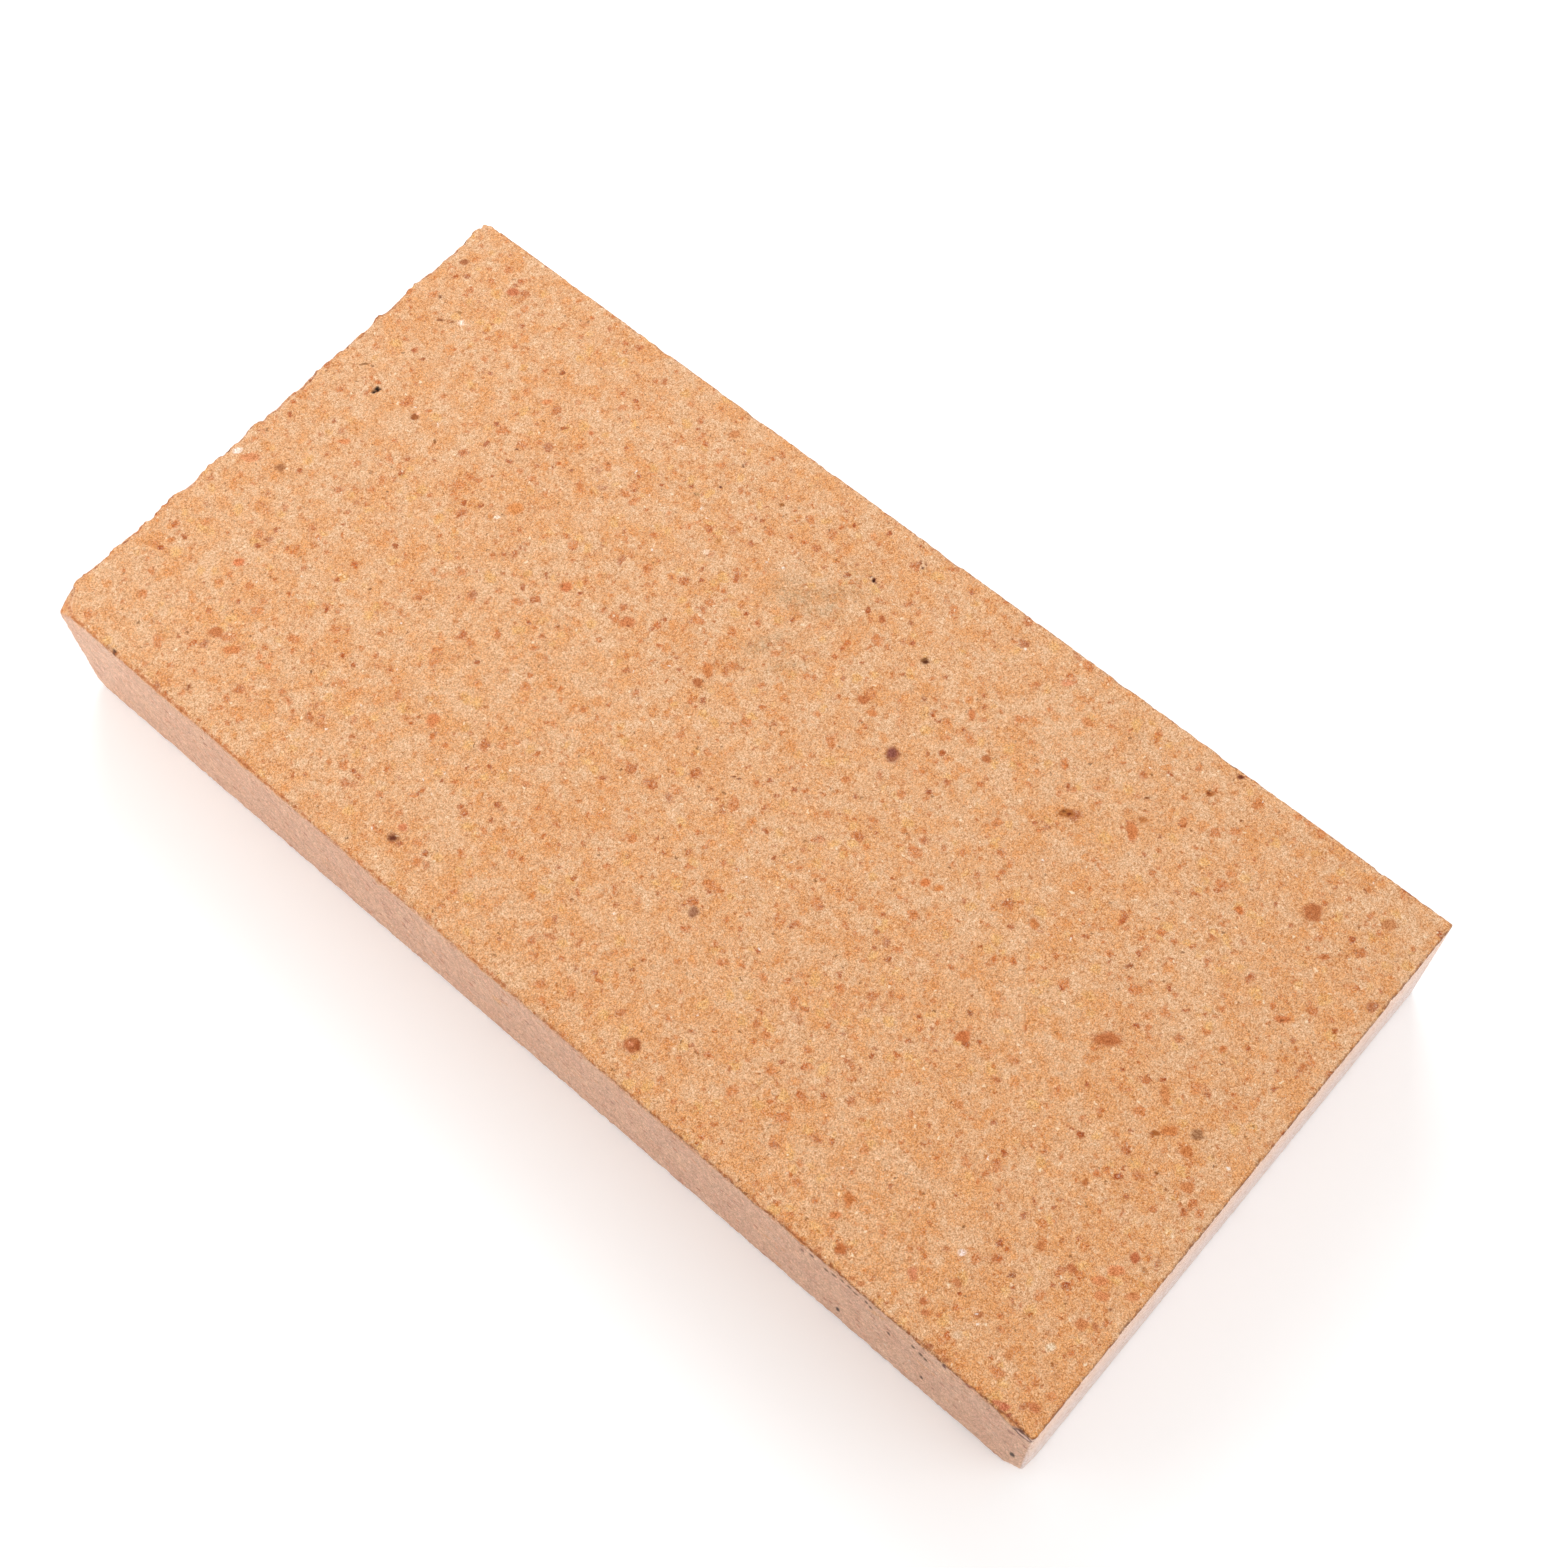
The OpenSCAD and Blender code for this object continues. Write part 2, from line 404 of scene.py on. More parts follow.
def near_mark(place, reach):
    """Whether a place lies on a mark that is let out by the reach."""
    for middle, index, gap in mark_tree.find_range(place, 5 * MM):
        if away(place, MARKS[index], reach) < 1.2:
            return True
    return False


# %% [markdown]
# ## A grid fine enough to crumble
#
# Crumbling is a matter of half a millimetre, so the mesh needs points that close together,
# but only near the arrises. The middle of each face is flat and does with cells of two
# millimetres. Subdividing the four edges that run one way cuts the block into slices. Once
# that is done in all three directions, only the faces near an arris or a mark are cut again.

# %% Cut the block into even cells
def select_edges(axis):
    """Selects the edges that run along one axis: 0 for X, 1 for Y and 2 for Z."""
    cage = bmesh.from_edit_mesh(brick.data)
    for edge in cage.edges:
        run = edge.verts[1].co - edge.verts[0].co
        edge.select = abs(run[axis]) > 0.9 * run.length
    cage.select_flush_mode()
    bmesh.update_edit_mesh(brick.data)


# A subdivision makes at most 100 cuts, so the long side is cut in two rounds
SLICES = ((0, 12), (0, 10), (1, 60), (2, 17))

bpy.ops.object.mode_set(mode="EDIT")
bpy.ops.mesh.select_mode(type="EDGE")
for axis, slices in SLICES:
    bpy.ops.mesh.select_all(action="DESELECT")
    select_edges(axis)
    bpy.ops.mesh.subdivide(number_cuts=slices - 1, ngon=False)
bpy.ops.object.mode_set(mode="OBJECT")
print("even cells:", len(brick.data.polygons))

# %% Cut finer near the arrises and the marks
def gaps_to_sides(place):
    """How far a point of the block is from its ends, its long sides and its beds, in order."""
    to_end = half_l - abs(place.x)
    to_long_side = half_w - abs(place.y)
    to_bed = min(place.z, brick_t - place.z)
    return sorted((to_end, to_long_side, to_bed))


def refine(arris_band, mark_reach):
    """Cuts in four each face within the band along the arrises, or near a mark."""
    bpy.ops.object.mode_set(mode="EDIT")
    bpy.ops.mesh.select_mode(type="FACE")
    bpy.ops.mesh.select_all(action="DESELECT")
    cage = bmesh.from_edit_mesh(brick.data)
    for face in cage.faces:
        middle = face.calc_center_median()
        # A point of one face is at gap 0 from it, so the next gap is the way to an arris
        face.select = gaps_to_sides(middle)[1] < arris_band or near_mark(middle, mark_reach)
    cage.select_flush_mode()
    bmesh.update_edit_mesh(brick.data)
    bpy.ops.mesh.subdivide(number_cuts=1, ngon=False, quadcorner="INNERVERT")
    bpy.ops.object.mode_set(mode="OBJECT")
    print("cells within", round(arris_band / MM, 1), "mm cut:", len(brick.data.polygons))


refine(4.0 * MM, 1.1 * MM)
refine(2.4 * MM, 0.6 * MM)
refine(0.5 * MM, 0.25 * MM)

# %% [markdown]
# ## Take the true shape
#
# The grid is still a sharp block. A Shrinkwrap modifier moves each of its points to the
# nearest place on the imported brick, which has the roundings, the bites and the broken
# corners. How far a point moved tells how much the real brick lost there, and the material
# needs that later, because a broken place shows the raw inside of the brick.

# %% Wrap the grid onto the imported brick
sharp_places = [point.co.copy() for point in brick.data.vertices]
wrap = brick.modifiers.new("take the packed shape", "SHRINKWRAP")
wrap.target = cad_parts["brick"]
wrap.wrap_method = "NEAREST_SURFACEPOINT"
wrap.wrap_mode = "ON_SURFACE"
bpy.ops.object.modifier_apply(modifier=wrap.name)
lost = [(point.co - sharp).length for point, sharp in zip(brick.data.vertices, sharp_places)]
print("most that a corner lost, mm:", round(max(lost) / MM, 2))

# %% [markdown]
# ## Crumbled arrises
#
# Along an arris the press packs the clay least, so grains fall out one by one. A Displace
# modifier with a cloud texture sinks the mesh where the texture is bright, and a vertex
# group holds it to the arris. The left end was knocked about most, so it is weighted most.
# Nothing is ever pushed outwards, so the brick stays inside its true size.

# %% Weigh the points by how near an arris they are
def fall(gap, reach):
    """1 at no gap, falling smoothly to 0 at the reach."""
    share = max(0.0, 1 - gap / reach)
    return share * share * (3 - 2 * share)


def weigh(name, weight_of):
    """Adds a vertex group whose weights a function gives from a point's sharp place."""
    group = brick.vertex_groups.new(name=name)
    for index, place in enumerate(sharp_places):
        weight = weight_of(place)
        if weight > 0:
            group.add([index], weight, "REPLACE")
    return name


ARRIS_BAND = 1.5 * MM
ROUGH_END_BAND = 2.6 * MM
SHARP_BAND = 1.7 * MM
RIGHT_END_SHARE = 0.35
BACK_SHARE = 0.45


def sharp_end_share(place):
    """Less than 1 along the arrises of the right end and the back, which stayed sharp."""
    if place.x > half_l - SHARP_BAND:
        return RIGHT_END_SHARE
    return BACK_SHARE if place.y > half_w - SHARP_BAND else 1.0


def arris_weight(place):
    """How much a point crumbles because an arris is near."""
    return fall(gaps_to_sides(place)[1], ARRIS_BAND) * sharp_end_share(place)


def rough_end_weight(place):
    """The arris at the top of the left end, where the most grit has gone."""
    to_end = place.x + half_l
    to_top = brick_t - place.z
    return fall(max(to_end, to_top), ROUGH_END_BAND)


ARRIS = weigh("arris band", arris_weight)
ROUGH_END = weigh("rough end band", rough_end_weight)
print("weighed for", [group.name for group in brick.vertex_groups])

# %% Sink the crumbled spots
def crumble(name, group, grain, depth, threshold):
    """Sinks spots of about a grain's size below the surface, where a cloud texture is bright."""
    clouds = bpy.data.textures.new(name, "CLOUDS")
    clouds.noise_scale = grain
    clouds.noise_depth = 1
    clouds.use_color_ramp = True
    clouds.color_ramp.elements[0].position = threshold
    clouds.color_ramp.elements[0].color = (0, 0, 0, 1)
    clouds.color_ramp.elements[1].position = threshold + 0.25
    clouds.color_ramp.elements[1].color = (1, 1, 1, 1)
    sink = brick.modifiers.new(name, "DISPLACE")
    sink.texture = clouds
    sink.texture_coords = "LOCAL"
    sink.direction = "NORMAL"
    sink.mid_level = 0
    sink.strength = -depth
    sink.vertex_group = group
    bpy.ops.object.modifier_apply(modifier=sink.name)
    print(name, "done to a depth of", round(depth / MM, 2), "mm")


crumble("loose grains", ARRIS, grain=1.6 * MM, depth=0.32 * MM, threshold=0.5)
crumble("fine grit", ARRIS, grain=0.7 * MM, depth=0.16 * MM, threshold=0.45)
crumble("knocked end", ROUGH_END, grain=2.8 * MM, depth=0.55 * MM, threshold=0.42)

# %% Blunt the tip of the far left corner
# Handling has rounded this one corner of the upper bed, so its points move a little inwards
BLUNT_REACH = 2.2
BLUNT_DEPTH = 0.5
tip = Vector((-half_l, half_w, brick_t))
inwards = Vector((1, -1, -1)).normalized()
for point, sharp in zip(brick.data.vertices, sharp_places):
    near_tip = fall((sharp - tip).length, BLUNT_REACH * MM)
    point.co += inwards * BLUNT_DEPTH * MM * near_tip
print("tip moved in by", BLUNT_DEPTH, "mm")

# %% Push in the pores
for x, y, radius, depth in PORES:
    for point, sharp in zip(brick.data.vertices, sharp_places):
        if sharp.z < brick_t - 0.01 * MM:
            continue
        gap = (sharp.xy - Vector((x, y)) * MM).length
        point.co.z -= depth * MM * fall(gap, radius * MM)
print("pores pushed in:", len(PORES))

# %% Smooth shading and a last look at the mesh
start_fresh()
brick.select_set(True)
bpy.context.view_layer.objects.active = brick
bpy.ops.object.shade_smooth()
brick.data.calc_loop_triangles()
print("triangles:", len(brick.data.loop_triangles))

# %% [markdown]
# ## What the material needs to know
#
# One material covers the whole brick, because it is all the same clay. What differs from
# place to place is written onto the mesh as attributes: `below` is how many millimetres a
# point lies from the nearest bed face, `edge` is 1 on an arris, `arris` is the same but
# weaker where the arris stayed sharp, and `raw` is 1 where a piece has broken off and the
# inside of the brick shows. The marks and two smudges of soot are painted on in the same way.

# %% Write the attributes
DEEPEST_BELOW = 6.0
# The skin flaked less beside the lower bed, so a distance from there counts this many times
LOWER_BED_COUNTS = 3
EDGE_BAND = 1.6 * MM
LEAST_BREAK = 0.4 * MM
BREAK_FADE = 0.35 * MM


def write_attribute(name, values):
    """Stores one number for each point of the mesh."""
    attribute = brick.data.attributes.new(name, "FLOAT", "POINT")
    attribute.data.foreach_set("value", values)
    print("attribute", name, "reaches", round(max(values), 2))


def below_bed(place):
    """How many millimetres a point is from the nearest bed, up to the deepest that matters."""
    return min(LOWER_BED_COUNTS * place.z, brick_t - place.z, DEEPEST_BELOW * MM) / MM


def raw_share(loss):
    """Raw where the brick lost much."""
    return 1 - fall(max(0.0, loss - LEAST_BREAK), BREAK_FADE)


def on_arris(place):
    """1 on an arris, down to 0 where the nearest one is well away."""
    return fall(gaps_to_sides(place)[1], EDGE_BAND)


def crumbling(place):
    """1 along the arrises, but less at the back and the right end, which stayed sharp."""
    return on_arris(place) * sharp_end_share(place)


write_attribute("below", [below_bed(place) for place in sharp_places])
write_attribute("edge", [on_arris(place) for place in sharp_places])
write_attribute("arris", [crumbling(place) for place in sharp_places])
write_attribute("raw", [raw_share(loss) for loss in lost])

# %% Paint the marks
# Each point keeps its paint as red, green and blue already shared by how much it covers,
# and that share as the fourth number, so that paint fades out evenly between points
EDGE_WANDER = 0.22
SOFT = 0.3
THICKEST_PAINT = 0.95
# Without a seed this noise starts from the clock, and the outlines would differ at each run
NOISE_SEED = 5
noise.seed_set(NOISE_SEED)
paint_on = [[0.0, 0.0, 0.0, 0.0] for place in sharp_places]
point_tree = KDTree(len(sharp_places))
for index, place in enumerate(sharp_places):
    point_tree.insert(place, index)
point_tree.balance()

for mark in MARKS:
    middle, size, hex_code = mark
    outline_shift = EDGE_WANDER * min(size) * MM
    for place, index, gap in point_tree.find_range(middle * MM, max(size) * MM):
        wandered = place + outline_shift * noise.noise_vector(place / MM)
        cover = THICKEST_PAINT * fall(max(0.0, away(wandered, mark) - 1 + SOFT), 2 * SOFT)
        fresh = [cover * channel for channel in colour(hex_code)[:3]] + [cover]
        paint_on[index] = [old * (1 - cover) + new for old, new in zip(paint_on[index], fresh)]
marks_layer = brick.data.color_attributes.new("marks", "FLOAT_COLOR", "POINT")
marks_layer.data.foreach_set("color", [channel for dab in paint_on for channel in dab])
print("painted points:", sum(dab[3] > 0 for dab in paint_on))

# %% Lay on the soot
# Two smudges: middle along and across the bed, size across and up the picture
SMUDGES = ((-8.0, 36.5, 22.0, 13.0), (-7.5, 20.3, 16.0, 9.0))
SOOT_SWIRL = 4 * MM
SOOT_DRIFT = 2.5 * MM
FULL_SOOT = 0.3
SOOT_FADE = 1.1


def sooty(place):
    """How thick the soot of the smudges lies on a point of the upper bed, from 0 to 1."""
    thickest = 0.0
    for x, y, across, up in SMUDGES:
        smudge = (Vector((x, y, brick_t / MM)), (across, up, GRAIN_DEPTH), "")
        wandered = place + SOOT_DRIFT * noise.noise_vector(place / SOOT_SWIRL)
        thin_out = max(0.0, away(wandered, smudge) - FULL_SOOT)
        thickest = max(thickest, fall(thin_out, SOOT_FADE))
    return thickest


write_attribute("soot", [sooty(place) for place in sharp_places])

# %% [markdown]
# ## Fireclay
#
# Fired fireclay is matte and sandy. Its ground is a warm tan with pale and ochre grains of
# a quarter to half a millimetre. Bits of grog and of iron in the clay show as rust-coloured
# specks with soft edges, up to three millimetres long, with a few dark brown and white ones
# between them. The skin on the upright faces is closed, pinker and less rough, and the mould
# has dragged its grains. On the right end a painted sheen makes it whitish. Painted light and
# shade lie in more places: pale crowns and dark gaps on the grains, a darker near right corner,
# a dark line under the torn skin, and the dark of pits, slots, holes and crumb gaps. All of it
# is made from noise and Voronoi patterns on Object coordinates, in real millimetres.

# %% Helpers for the material
def add(kind, inputs=None, **settings):
    """Adds a node. An input is linked where it is given a socket, and set where a value."""
    made = tree.nodes.new(kind)
    for name, value in settings.items():
        setattr(made, name, value)
    for name, value in (inputs or {}).items():
        if isinstance(value, bpy.types.NodeSocket):
            tree.links.new(value, made.inputs[name])
        else:
            made.inputs[name].default_value = value
    return made.outputs


fireclay = bpy.data.materials.new("pressed fireclay")
fireclay.use_nodes = True
tree = fireclay.node_tree
tree.nodes.clear()
# The sockets of a Mix node that mixes colours
SHARE, UNDER, OVER, MIXED = 0, 6, 7, 2


def paint(under, share, over, blend="MIX"):
    """Covers a share of the colour below with another colour, or blends the two."""
    return add(
        "ShaderNodeMix",
        {SHARE: share, UNDER: under, OVER: over},
        data_type="RGBA",
        blend_type=blend,
    )[MIXED]


# %% Coordinates in millimetres, with a small wander
place = add("ShaderNodeTexCoord")["Object"]
# Every pattern is the same at the point 0, so that point is kept far away from the brick
FAR_AWAY = Vector((510.0, 330.0, 170.0))
place_mm = add(
    "ShaderNodeVectorMath",
    {0: place, 1: (1 / MM, 1 / MM, 1 / MM), 2: FAR_AWAY},
    operation="MULTIPLY_ADD",
)["Vector"]
wander = add(
    "ShaderNodeTexNoise",
    {"Vector": place_mm, "Scale": 1.0, "Detail": 3.0, "Roughness": 0.65},
)["Color"]
wander_middle = add(
    "ShaderNodeVectorMath",
    {0: wander, 1: (0.5, 0.5, 0.5)},
    operation="SUBTRACT",
)["Vector"]
# A grain's outline wanders by about a third of this many millimetres, so no speck is round
WANDER = 1.6
wandering_mm = add(
    "ShaderNodeVectorMath",
    {0: wander_middle, 1: (WANDER, WANDER, WANDER), 2: place_mm},
    operation="MULTIPLY_ADD",
)["Vector"]

# %% The ground: clay in soft patches
patches = add(
    "ShaderNodeTexNoise",
    {"Vector": wandering_mm, "Scale": 0.28, "Detail": 4.0, "Roughness": 0.6},
)["Fac"]
patch_share = add(
    "ShaderNodeMapRange",
    {"Value": patches, "From Min": 0.38, "From Max": 0.64},
)["Result"]
# Towards the near right corner the ground is painted darker and more orange: painted shade,
# where the light from behind the brick gives it less sheen
across_brick = add(
    "ShaderNodeVectorMath",
    {0: place, 1: (0.5 / half_l, -0.5 / half_w, 0.0)},
    operation="DOT_PRODUCT",
)["Value"]
near_corner_shade = add("ShaderNodeMapRange", {"Value": across_brick, "To Max": 0.25})["Result"]
patch_share = add("ShaderNodeMath", {0: patch_share, 1: near_corner_shade}, operation="ADD")["Value"]
clay = paint(colour("#DFAD7F"), patch_share, colour("#DB975B"))


# %% Grains that are scattered through it
def scatter(under, cell, share, radius, stretch, soft, strength, tints, blend="MIX"):
    """Paints grains over the colour below. At most one grain lies in a cell, a share of the
    cells has one, and each is drawn out along a direction of its own. The tints are pairs:
    the chance at which a colour starts, and the colour."""
    cells = add(
        "ShaderNodeTexVoronoi",
        {"Vector": wandering_mm, "Scale": 1 / cell, "Randomness": 1.0},
        feature="F1",
    )
    off_middle = add(
        "ShaderNodeVectorMath",
        {0: wandering_mm, 1: cells["Position"]},
        operation="SUBTRACT",
    )["Vector"]
    # A large multiple of the grain's place has a fraction that is as good as random
    multiple = add(
        "ShaderNodeVectorMath",
        {0: cells["Position"], 1: (37.0, 41.0, 43.0)},
        operation="MULTIPLY",
    )["Vector"]
    fraction = add("ShaderNodeVectorMath", {0: multiple}, operation="FRACTION")["Vector"]
    centred = add(
        "ShaderNodeVectorMath",
        {0: fraction, 1: (0.5, 0.5, 0.5)},
        operation="SUBTRACT",
    )["Vector"]
    direction = add("ShaderNodeVectorMath", {0: centred}, operation="NORMALIZE")["Vector"]
    along = add(
        "ShaderNodeVectorMath",
        {0: off_middle, 1: direction},
        operation="DOT_PRODUCT",
    )["Value"]
    pulled_in = add(
        "ShaderNodeVectorMath",
        {0: direction, "Scale": along},
        operation="SCALE",
    )["Vector"]
    drawn_out = add(
        "ShaderNodeVectorMath",
        {0: pulled_in, 1: (1 / stretch - 1,) * 3, 2: off_middle},
        operation="MULTIPLY_ADD",
    )["Vector"]
    distance = add("ShaderNodeVectorMath", {0: drawn_out}, operation="LENGTH")["Value"]
    chances = add("ShaderNodeSeparateColor", {"Color": cells["Color"]})
    own_radius = add(
        "ShaderNodeMapRange",
        {
            "Value": chances["Red"],
            "From Min": 1 - share,
            "From Max": 1.0,
            "To Min": -soft,
            "To Max": radius,
        },
    )["Result"]
    outside = add("ShaderNodeMath", {0: distance, 1: own_radius}, operation="SUBTRACT")["Value"]
    mask = add(
        "ShaderNodeMapRange",
        {"Value": outside, "From Min": soft, "From Max": -soft, "To Max": strength},
        interpolation_type="SMOOTHSTEP",
    )["Result"]
    tint = add("ShaderNodeValToRGB", {"Fac": chances["Green"]})["Color"]
    ramp = tint.node.color_ramp
    ramp.interpolation = "CONSTANT"
    while len(ramp.elements) < len(tints):
        ramp.elements.new(1.0)
    for element, (starts_at, hex_code) in zip(ramp.elements, tints):
        element.position = starts_at
        element.color = colour(hex_code)
    return paint(under, mask, tint, blend)


STAINS = (
    (0.0, "#E0A562"),
    (0.35, "#D98F50"),
    (0.66, "#CE7C40"),
    (0.88, "#BF6C34"),
    (0.98, "#B4683A"),
)
clay = scatter(clay, 2.3, 0.8, 1.05, 1.8, 0.4, 0.9, STAINS)


# %% Sand: every grain of the ground has its own tone
# A coarse pale grain is less yellow as well, so red, green and blue have factors of their
# own. Of the finest grains only the lightness shows
DARK_GRAIN = (0.93, 0.83, 0.72, 1.0)
PALE_GRAIN = (1.08, 1.18, 1.3, 1.0)
DARK_DUST = (0.6, 0.44, 0.26, 1.0)
PALE_DUST = (1.48, 1.72, 2.1, 1.0)


def sand(under, where, grain, darkest, palest, crown):
    """Gives each grain of the ground a tone between the darkest and the palest. A share of it
    is the grain's own. The rest, the crown, is painted light and shade: pale in its middle as
    if lit, and dark around it as if shaded between the grains."""
    cells = add(
        "ShaderNodeTexVoronoi",
        {"Vector": where, "Scale": 1 / grain, "Randomness": 1.0},
        feature="F1",
    )
    chance = add("ShaderNodeSeparateColor", {"Color": cells["Color"]})["Red"]
    crown_light_and_shade = add(
        "ShaderNodeMapRange",
        {
            "Value": cells["Distance"],
            "From Min": 0.15,
            "From Max": 0.75,
            "To Min": crown,
            "To Max": 0.0,
        },
    )["Result"]
    tone_share = add(
        "ShaderNodeMath",
        {0: chance, 1: 1 - crown, 2: crown_light_and_shade},
        operation="MULTIPLY_ADD",
    )["Value"]
    tone = paint(darkest, tone_share, palest)
    return paint(under, 1.0, tone, "MULTIPLY"), cells["Distance"]


clay = sand(clay, wandering_mm, 0.42, DARK_GRAIN, PALE_GRAIN, 0.2)[0]

# %% The two smudges of soot
soot = add("ShaderNodeAttribute", attribute_name="soot")["Fac"]
soot_noise = add(
    "ShaderNodeTexNoise",
    {"Vector": wandering_mm, "Scale": 1.3, "Detail": 2.0, "Roughness": 0.7},
)["Fac"]
soot_strength = add(
    "ShaderNodeMapRange",
    {"Value": soot_noise, "From Min": 0.42, "From Max": 0.66, "To Min": 0.08, "To Max": 0.62},
)["Result"]
soot_share = add("ShaderNodeMath", {0: soot, 1: soot_strength}, operation="MULTIPLY")["Value"]
clay = paint(clay, soot_share, colour("#8E7550"))

# %% The skin of the upright faces
# The mould wipes the fine clay into a closed film. It is mauve beside the bed's orange, and
# the press draws its grains out upwards as it pushes the brick out
dragged_mm = add(
    "ShaderNodeVectorMath",
    {0: wandering_mm, 1: (1.0, 1.0, 0.35)},
    operation="MULTIPLY",
)["Vector"]
DARK_DRAG = (0.71, 0.65, 0.6, 1.0)
PALE_DRAG = (1.33, 1.42, 1.5, 1.0)
mottle = add(
    "ShaderNodeTexNoise",
    {"Vector": dragged_mm, "Scale": 0.35, "Detail": 4.0, "Roughness": 0.75},
)["Fac"]
mottle_share = add(
    "ShaderNodeMapRange",
    {"Value": mottle, "From Min": 0.36, "From Max": 0.66},
)["Result"]
film = paint(colour("#D9A680"), mottle_share, colour("#CA9272"))
film = sand(film, dragged_mm, 0.55, DARK_DRAG, PALE_DRAG, 0.4)[0]
skin = paint(film, 0.25, clay)

# %% The painted sheen of the right end
apart = add("ShaderNodeSeparateXYZ", {"Vector": place_mm})
# The right end face is painted whitish: a painted reflection of the pale surroundings, which
# that end shows at a glancing view. The painted reflection is greyer low down and pinker high up
end_sheen = add(
    "ShaderNodeMapRange",
    {
        "Value": apart["X"],
        "From Min": FAR_AWAY.x + half_l / MM - 0.6,
        "From Max": FAR_AWAY.x + half_l / MM - 0.3,
        "To Max": 0.9,
    },
)["Result"]
rise = add(
    "ShaderNodeMapRange",
    {"Value": apart["Z"], "From Min": FAR_AWAY.z + 8.0, "From Max": FAR_AWAY.z + 26.0},
)["Result"]
end_sheen_colour = paint(colour("#EED6C9"), rise, colour("#FFD8BC"))
skin = paint(skin, end_sheen, end_sheen_colour)

# %% Where the skin ends
# Below the arris the skin has flaked in places, so its upper line wanders
below = add("ShaderNodeAttribute", attribute_name="below")["Fac"]
flaking = add(
    "ShaderNodeTexNoise",
    {"Vector": place_mm, "Scale": 0.16, "Detail": 5.0, "Roughness": 0.6},
)["Fac"]
flaked_depth = add(
    "ShaderNodeMapRange",
    {"Value": end_sheen, "From Max": 0.9, "To Min": 2.6, "To Max": 0.5},
)["Result"]
skin_line = add(
    "ShaderNodeMapRange",
    {
        "Value": flaking,
        "From Min": 0.5,
        "From Max": 0.72,
        "To Min": 0.35,
        "To Max": flaked_depth,
    },
)["Result"]
past_line = add("ShaderNodeMath", {0: below, 1: skin_line}, operation="SUBTRACT")["Value"]
skinned = add(
    "ShaderNodeMapRange",
    {"Value": past_line, "From Min": -0.12, "From Max": 0.12},
    interpolation_type="SMOOTHSTEP",
)["Result"]
raw = add("ShaderNodeAttribute", attribute_name="raw")["Fac"]
raw_noise = add("ShaderNodeMath", {0: flaking, 1: 0.5}, operation="SUBTRACT")["Value"]
raw_ragged = add(
    "ShaderNodeMath",
    {0: raw_noise, 1: 2.5, 2: raw},
    operation="MULTIPLY_ADD",
)["Value"]
raw_share_here = add(
    "ShaderNodeMapRange",
    {"Value": raw_ragged, "From Min": 0.35, "From Max": 0.6},
)["Result"]
closed = add("ShaderNodeMath", {0: 1.0, 1: raw_share_here}, operation="SUBTRACT")["Value"]
skinned = add("ShaderNodeMath", {0: skinned, 1: closed}, operation="MULTIPLY")["Value"]
faces = paint(clay, skinned, skin)

# %% Small spots, which are on the skin as well, and the marks
# These spots stain what is below them, so they are rust on the bed and brown on the skin
SPOTS = ((0.0, "#F2D8BC"), (0.5, "#E8BE98"), (0.86, "#CC9468"), (0.99, "#B88860"))
faces = scatter(faces, 1.5, 0.7, 0.58, 1.6, 0.24, 1.0, SPOTS, "MULTIPLY")
marks = add("ShaderNodeAttribute", attribute_name="marks")
faces = paint(faces, marks["Alpha"], colour("#000000"))
faces = paint(faces, 1.0, marks["Color"], "ADD")

# %% Dust, flecks and small holes lie over all the rest, with painted light and shade on the dust grains and painted shade in the holes
faces, dust_rise = sand(faces, wandering_mm, 0.24, DARK_DUST, PALE_DUST, 0.75)
fleck_noise = add(
    "ShaderNodeTexNoise",
    {"Vector": wandering_mm, "Scale": 1.9, "Detail": 1.0, "Roughness": 0.5},
)["Fac"]
off_ridge = add("ShaderNodeMath", {0: fleck_noise, 1: 0.5}, operation="SUBTRACT")["Value"]
ridge_gap = add("ShaderNodeMath", {0: off_ridge}, operation="ABSOLUTE")["Value"]
fleck_share = add(
    "ShaderNodeMapRange",
    {"Value": ridge_gap, "From Min": 0.03, "From Max": 0.0, "To Max": 0.5},
)["Result"]
open_share = add("ShaderNodeMath", {0: 1.0, 1: skinned}, operation="SUBTRACT")["Value"]
unmarked = add("ShaderNodeMath", {0: 1.0, 1: marks["Alpha"]}, operation="SUBTRACT")["Value"]
fleck_open = add(
    "ShaderNodeMath",
    {0: fleck_share, 1: open_share},
    operation="MULTIPLY",
)["Value"]
fleck_here = add("ShaderNodeMath", {0: fleck_open, 1: unmarked}, operation="MULTIPLY")["Value"]
faces = paint(faces, fleck_here, colour("#FFE6C6"))
# The darkest of these specks are small holes, and their dark is painted shade
SPECKS = (
    (0.0, "#7A4A20"),
    (0.3, "#B4602A"),
    (0.6, "#FFE8C6"),
    (0.93, "#4A2A14"),
    (0.96, "#FFF4E8"),
)
faces = scatter(faces, 1.05, 0.5, 0.23, 1.6, 0.1, 0.75, SPECKS)

